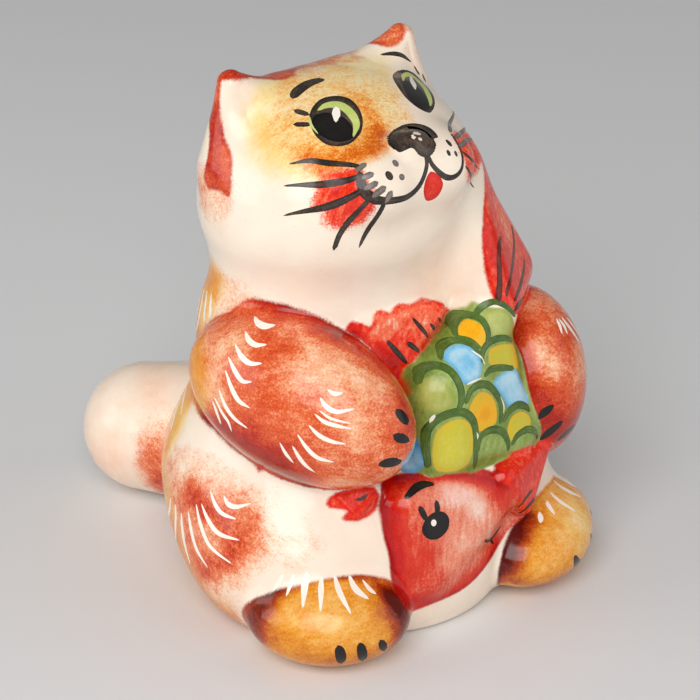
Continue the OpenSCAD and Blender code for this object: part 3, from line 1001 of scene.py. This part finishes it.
brushwork("tongue", "tongue", [blot("face", [
    (-.6, -9.4), (-.1, -7.8), (1.4, -6.6), (3, -7.8), (3.7, -9.5), (2.9, -10.8), (1.4, -11.1), (.1, -10.7),
])])

# the eyes
brushwork("eye_rings", "nose_black", [
    blot("face", [(-13.3, 6.5), (-12.9, 9.5), (-11.2, 12.3), (-8, 14.1), (-5, 13.7), (-3.3, 12),
                  (-3.4, 9), (-4.8, 6), (-7, 4), (-10, 3), (-12.3, 4.2)]),
    blot("face", [(9.5, 4.6), (7.5, 6.8), (7, 9.5), (8, 12.8), (9.5, 14.8), (12, 15.9), (15, 16.3),
                  (17.5, 15.6), (18.6, 14), (18.2, 12), (16.5, 9), (14, 6.5), (11.5, 5)]),
])
brush("eye_lime", "lime", "face", [
    [(-9.9, 11.8, .4), (-7.9, 12.1, 1.5), (-6.1, 11.2, 2.1), (-5.6, 9, 2.1), (-6.1, 6.5, 1.4), (-8.1, 4.3)],
    [(-11.7, 11.4, .2), (-12.5, 9.6, .5), (-12.6, 7.4, .2)],
    [(10.8, 13, .5), (13, 14.4, 1.1), (15.6, 14.5, 1.8), (16.3, 12.8, 2.2), (14.8, 9.8, 1.9), (13, 7.4, 1.2),
     (11.7, 6.2)],
], .04)
brushwork("eye_pupils", "deep_black", [
    round_blot("face", (-9.7, 7.6), 5.6, 7.4, 20, 0.06),
    round_blot("face", (10.7, 9.3), 5.2, 8.2, -20, 0.05),
])
brush("eye_sparks", "white", "face", [
    [(-8.9, 8.2, .5), (-8.2, 9.3, 1.3), (-7.2, 10.6, 1.1), (-6.9, 11.2, .5)],
    [(11.5, 10.4, .4), (12.6, 11.7, 1.2), (14.2, 13.3, .9), (15.2, 14.2)],
], .09)

# the arms
brush("right_arm_fur", "white", "shoulder", [
    [(-9.2, 15.5, .4), (-8, 14.6, 1.1), (-6.3, 14.2, 1.2), (-4.5, 14.6)],
    [(-9.9, 12.9, .4), (-8.8, 11.6, 1.1), (-7.2, 10.9, 1), (-5.1, 11.2)],
    [(-11.4, 10.6), (-9.6, 8.6, 1.1), (-7.6, 7.6, 1), (-5.3, 7.9)],
    [(-12.2, 8.1), (-10.6, 6, 1), (-8.8, 4.3, .9), (-6.8, 4.4, .2)],
    [(-12.5, 5.7), (-10.8, 2.6, 1), (-9.2, .6, 1), (-6.8, -.4, .2)],
    [(-13.6, 2), (-12, -1, .9), (-10, -3, .8), (-7.4, -4.3)],
    [(-14.6, .4), (-12.8, -2.4, .7), (-11.6, -3.8, .7), (-11, -5.6, .2)],
    [(-15, -.4), (-14.2, -2.4, .7), (-13.4, -4.6, .4)],
    [(7.4, 4.6), (8.8, 4, .9), (10.2, 4.3)],
    [(6.3, 3.1), (7.6, 1.6, 1), (9.6, .9, .9), (12.6, 1.7, .2)],
    [(5.6, .1), (7.4, -1.1, .8), (9.6, -1.6, .8), (12.4, -1.9, .2)],
    [(6.4, .8, .2), (8.6, -.4, .6), (12.2, -1, .2)],
    [(4.6, -2), (6.6, -3.7, .9), (9, -4.6, .8), (11.6, -4.8, .2)],
    [(2.6, -4), (4.4, -6.4, .9), (6.4, -8, .9), (9.4, -8.5, .2)],
    [(1.6, -6.3), (2.8, -8.4, .9), (4, -9.9, .8), (5.6, -11, .2)],
    [(-.9, -6, .2), (.2, -8, .8), (1.6, -9.7)],
])
brush("right_arm_claws", "deep_black", "shoulder", [
    [(19.3, 1.9, .9), (20.2, .9, 1.5), (21.3, -.8, 1)],
    [(19.4, -2.6, 1.4), (20.4, -3.1, 2.1), (21.8, -3.9, 1.3)],
    [(17.1, -8.4, 1), (18.8, -7.9, 2.1), (20.7, -7.4, 1.5)],
])
brush("left_arm_fur", "white", "left_paw", [
    [(.2, 5.4), (.8, 7, .9), (1, 8.4, .4)],
    [(1.7, 5), (2, 6.6, .9), (1.6, 8.2, .4)],
    [(2.7, 8.2, .4), (3.6, 5.8, 1), (5.2, 2.3)],
    [(4.6, 7.6), (5.8, 5.6, .8), (7, 3.4)],
])
brush("left_arm_claws", "deep_black", "left_paw", [
    [(-8.2, -8.9, .9), (-6.9, -7.8, 2), (-5.5, -6.9, 1)],
    [(-7.3, -13.3, .8), (-5.4, -12.2, 2.1), (-3.2, -10.8, 1.3)],
    [(-2.8, -14.8, .9), (-.8, -13.9, 1.9), (1.6, -13, 1.2)],
])

# the feet
brush("right_foot_fur", "white", "right_foot", [
    [(-7.2, 8, .5), (-8, 6.6, .9), (-9.2, 4.9)],
    [(-5.2, 8.2, .4), (-5.8, 6.4, .9), (-6.8, 4)],
    [(-2.8, 8.4, .6), (-3.3, 6, 1.5), (-3.9, 2.1, .4)],
    [(-.2, 7.4, .5), (-.4, 5, 1.2), (-.7, 1.4)],
    [(2.2, 7.6, .5), (3, 4.6, 1.2), (4.9, .8)],
    [(4.9, 7.4, .5), (6, 5, 1.3), (8.3, 3.2, .4)],
    [(7.4, 6.4), (8.6, 4.8, .8), (9.8, 3.9)],
])
brush("right_foot_claws", "deep_black", "right_foot", [
    [(2.3, -4.8, 1.6), (2.8, -6.6, 2.3), (3, -8.6, 1.9)],
    [(6.3, -4.5, 1.4), (6.8, -6.4, 2.2), (7, -8.4, 1.9)],
    [(10.2, -4.3, 1.3), (10.8, -5.7, 1.9), (11.1, -6.8, 1.4)],
])
brush("left_foot_fur", "white", "left_foot", [
    [(-5, 5), (-6, 4.3, .9), (-7.2, 3.6, .4)],
    [(-1.2, 5.6), (-2.4, 4.8, 1), (-3.3, 3.4, .4)],
    [(1.6, 6.2, .4), (.9, 4.2, 1.1), (1.9, 1.5, .4)],
    [(5.9, 6.8, .4), (6, 4.4, 1.3), (8.2, 1.8)],
    [(9.2, 6.2, .4), (10.2, 4.2, 1.1), (12.2, 2)],
])
brush("left_foot_claws", "deep_black", "left_foot", [
    [(-4.8, -4.9, .9), (-3.6, -6.8, 1.9), (-1, -8.3, 1.5)],
    [(3.4, -4.2, .9), (4.6, -5.8, 1.9), (6.8, -7, 1.4)],
    [(9, -1.6, .9), (10, -3.2, 1.8), (11.8, -4.2, 1.2)],
])

# fur on the body
brush("hip_fur", "white", "hip", [
    [(-1, 4.5), (.4, 3.2, 1), (2.4, 3.2, .9), (5, 4.5, .2)],
    [(-4.2, 4.5), (-2.4, 2.4, .9), (-.4, 1.2, .9), (2.8, 1)],
    [(-5.7, 1.6), (-3.4, -.8, 1), (-.4, -2.6, 1), (4.3, -2.6)],
    [(-7, 1.1), (-5, -2.4, 1), (-2, -5.6, .9), (3.4, -7.4)],
    [(-8.8, -1), (-7.6, -4, 1), (-5.6, -7.4, .9), (-2.4, -10)],
    [(-11, -1.9, .4), (-10.4, -5, 1), (-9.4, -8.4, .9), (-8, -11.4)],
    [(-13.2, -1, .4), (-13, -4, .9), (-13.8, -8, .8), (-15, -9.6)],
    [(-15.2, -.4), (-15.8, -3, .9), (-17.4, -5, .8), (-19.4, -6.2)],
])
brush("side_fur", "white", "side", [
    [(.4, .6), (1.6, -1.4, .9), (3, -3.4, .4)],
    [(-2, .2), (-.6, -2.2, .9), (.8, -5, .4)],
    [(-4.6, -.4), (-2.8, -3, .9), (-2.8, -6.6, .8), (-4.6, -9.4)],
    [(-7.6, -1), (-5.6, -3.6, .9), (-5.6, -7, .8), (-7.4, -10)],
    [(-10.6, -2), (-9, -5, .9), (-9.2, -8.4, .8), (-11, -11)],
    [(-10, -22), (-7, -23.6, .8), (-4, -26)],
    [(-12, -25), (-8.6, -27, .8), (-5.6, -30)],
])
brush("left_side_fur", "white", "left_side", [
    [(-.4 + 3 * i, 1 - .6 * i, .3), (-.8 + 3 * i, -2.4 - .6 * i, .9),
     (.6 + 3 * i, -6 - .6 * i, .8), (2 + 3 * i, -8 - .6 * i, .3)]
    for i in range(4)
])
brush("left_hip_fur", "white", "left_hip", [
    [(4 - 2.6 * i, 5.6 - 1.4 * i, .3), (2 - 2.6 * i, 2.4 - 1.5 * i, 1),
     (-1.4 - 2.4 * i, -.4 - 1.5 * i, .9), (-5 - 2 * i, -1.6 - 1.8 * i, .3)]
    for i in range(4)
])
brush("back_fur", "white", "back", [
    [(side * (3 + 3.4 * i), 11 - 1.6 * i + down, .3), (side * (4.4 + 3.2 * i), 7.6 - 1.6 * i + down, 1.1),
     (side * (3.8 + 3 * i), 3 - 1.6 * i + down, .3)]
    for side in (-1, 1)
    for i in range(3)
    for down in (0, -32)
])

# the fish
brush("fish_scale_lines", "green", "fish", [
    [(3, 18.8, .8), (4, 20.8, 1.2), (6.2, 22.2, 1.5), (8.4, 21, 1.5), (8.9, 18.5, 1.4), (8, 16.6, .8)],
    [(3, 19, .6), (5, 17.9, 1), (6.6, 15.9, .6)],
    [(7.8, 21.9, .9), (9.8, 23.2, 1.3), (12, 23.5, 1.3), (14.2, 21.9, 1.2), (16, 19.6, .8)],
    [(-1.8, 15.8, .8), (-.2, 17.6, 1.2), (2.4, 18.4, 1.3), (4.8, 17.2, 1.2), (6, 15, .9)],
    [(6, 13.4, .9), (7, 15.7, 1.4), (9.4, 16.8, 1.6), (12.6, 16.4, 1.4), (15.4, 15, 1)],
    [(-6.7, 12.2, .9), (-5.2, 14.6, 1.3), (-3, 15.1, 1.6), (-1.2, 13.8, 1.7), (-.4, 11, 1.7), (-.6, 8, 1.5),
     (-1.6, 6.2, .9)],
    [(.2, 7.2, 1), (1.6, 9.4, 1.5), (4, 9.9, 1.7), (6.8, 8.8, 1.8), (8.8, 6, 1.7), (9.2, 3.4, 1.5),
     (8.6, .8, 1)],
    [(5.8, 10.9, .9), (8, 11.6, 1.5), (11.2, 11, 1.5), (14.4, 9.9, 1)],
    [(-6.8, -4, 1), (-6.9, 0, 1.3), (-6.1, 4, 1.6), (-3.6, 6, 1.9), (-.4, 5.8, 1.9), (2, 3.4, 1.8),
     (2.8, 0, 1.6), (2.6, -4, 1.4), (3, -6.8, .9)],
    [(3, -3.4, 1), (4, -.4, 1.6), (6.6, .2, 1.8), (9.2, -1, 1.7), (10.6, -3.4, 1.3), (11, -5.6, .8)],
    [(9.4, .8, 1), (11, 2.4, 1.5), (13.8, 2.9, 1.7), (16, 2, 1.6), (17.3, .6, 1)],
    [(11.6, -4.6, 1), (13, -2.9, 1.5), (15.6, -2.5, 1.7), (17.8, -3.6, 1.5), (19.2, -5.8, .9)],
])
brush("fish_scale_gaps", "white", "fish", [
    [(-5.3, 6.4), (-5.6, 5.6, .8), (-6, 4.8)],
    [(2.9, .8, .2), (3.2, 0, .6), (3.1, -.7, .2)],
    [(1, 10.8, .2), (3, 10.9, .4), (5.2, 10.9, .2)],
    [(4.4, 16.2, .2), (6, 14.6, .4), (6.6, 13, .2)],
    [(9.6, 2.6, .2), (10, 4, .4), (9.4, 6, .2)],
], .01)
brushwork("fish_face", "deep_black", strokes("fish", [
    [(-13, -8.1, .8), (-10.6, -6.9, 1.4), (-8.2, -6.7, 1.3), (-6.2, -7.2, .6)],
    [(-11, -9.9, 1), (-10.4, -11.6, 1.4), (-9.8, -13, 1)],
    [(-7.2, -9.8, 1), (-7.2, -11.4, 1.4), (-7.4, -12.6, 1)],
    [(3.4, -21.4, .8), (5.5, -22.1, .9), (8, -21.5, .7), (9.6, -20.8, .3)],
    [(5.8, -22.2, .9), (6.8, -23.5, .5)],
]) + [round_blot("fish", (-7.9, -14.6), 6.5, 5.6, 5)])
brushwork("fish_eye_spark", "white", [round_blot("fish", (-8.4, -13.9), 1.3, 1.5, 20, 0.05)])
brush("fin_rays", "black", "fish", [
    [(-9.9, 21, .8), (-8.2, 18.4, 1.1), (-6.3, 15.6, .5)],
    [(-6.1, 19.8, 1.1), (-4.9, 18.5, 1.1), (-3.6, 17.2, .5)],
    [(-4.6, 24.2, .5), (-3.1, 21.8, .9), (-1.8, 19.6, .4)],
    [(-1.4, 22.4, .4), (-.7, 21.4, .8), (0, 20.4, .4)],
    [(.3, 23.2), (1, 22.2, .6), (1.7, 21.2)],
    [(-20.9, -6.9, .4), (-19.8, -6.9, .8), (-18.5, -6.2)],
    [(12.4, -17.6, .4), (14, -16, .9), (16.4, -15.1, .7)],
    [(13.4, -19.3, .4), (15, -18, .9), (17.2, -17.2, .8)],
])

# the fish's tail fin
brush("tail_fin_rays", "umber", "fin", [
    [(.4, -.2, .8), (-1, -1, 1.3), (-2.3, -3.6, 1.4), (-3.3, -7.6, 1.4), (-4.3, -10.6, 1.5), (-4.6, -11.8, .8)],
    [(6.2, 1, .5), (5.4, -2, 1), (3, -5, 1.1), (.4, -7.4, 1), (-2, -9.8, 1), (-2.6, -11.2, .5)],
    [(8, -6, .5), (6.4, -7.8, 1), (3.4, -10, 1.1), (.6, -11.4, 1), (-1, -12.4, .5)],
    [(6, -12.8, .4), (3, -13, 1.2), (0, -13.4, 1.4), (-1.4, -14.2, .6)],
])

# ---------------------------------------------------------------- floor, light and camera
FLOOR_HALF, FLOOR_GREY, FLOOR_ROUGH = 3.0, 0.78, 0.5  # metres, and how pale and dull it is
SKY = 0.22  # strength of the even light from all round
VIEW_AZIMUTH, VIEW_HEIGHT, VIEW_DISTANCE, VIEW_ANGLE = -37, 28, 0.5, 15.3
VIEW_TARGET, LIGHT_TARGET = (0, 0, 0.045), (0, 0, 0.05)


def stage():
    mesh = bpy.data.meshes.new("floor")
    s = FLOOR_HALF
    mesh.from_pydata([(-s, -s, 0), (s, -s, 0), (s, s, 0), (-s, s, 0)], [], [(0, 1, 2, 3)])
    floor = bpy.data.objects.new("floor", mesh)
    bpy.context.scene.collection.objects.link(floor)
    m = bpy.data.materials.new("pale_floor")
    m.use_nodes = True
    b = m.node_tree.nodes["Principled BSDF"]
    b.inputs["Base Color"].default_value = (FLOOR_GREY, FLOOR_GREY, FLOOR_GREY, 1)
    b.inputs["Roughness"].default_value = FLOOR_ROUGH
    mesh.materials.append(m)
    world = bpy.data.worlds.new("studio")
    world.use_nodes = True
    world.node_tree.nodes["Background"].inputs[0].default_value = (1, 1, 1, 1)
    world.node_tree.nodes["Background"].inputs[1].default_value = SKY
    bpy.context.scene.world = world


def aim(obj, at, target):
    obj.location = Vector(at)
    obj.rotation_euler = (Vector(target) - Vector(at)).to_track_quat("-Z", "Y").to_euler()


def softbox(name, at, size, power):
    light = bpy.data.lights.new(name, "AREA")
    light.shape, light.size, light.size_y, light.energy = "RECTANGLE", size, size, power
    obj = bpy.data.objects.new(name, light)
    bpy.context.scene.collection.objects.link(obj)
    aim(obj, at, LIGHT_TARGET)


def camera():
    a, e = math.radians(VIEW_AZIMUTH), math.radians(VIEW_HEIGHT)
    back = Vector((math.sin(a) * math.cos(e), -math.cos(a) * math.cos(e), math.sin(e)))
    data = bpy.data.cameras.new("camera")
    data.angle = math.radians(VIEW_ANGLE)
    data.clip_start = 0.01
    obj = bpy.data.objects.new("camera", data)
    bpy.context.scene.collection.objects.link(obj)
    aim(obj, Vector(VIEW_TARGET) + back * VIEW_DISTANCE, VIEW_TARGET)
    bpy.context.scene.camera = obj


bpy.context.scene.view_settings.view_transform = "Standard"
stage()
softbox("key", (-0.6, -0.5, 0.7), 0.75, 7.6)
softbox("fill", (0.6, -0.9, 0.45), 1.2, 4)
softbox("side", (-0.8, 0.35, 0.35), 0.5, 2)
camera()
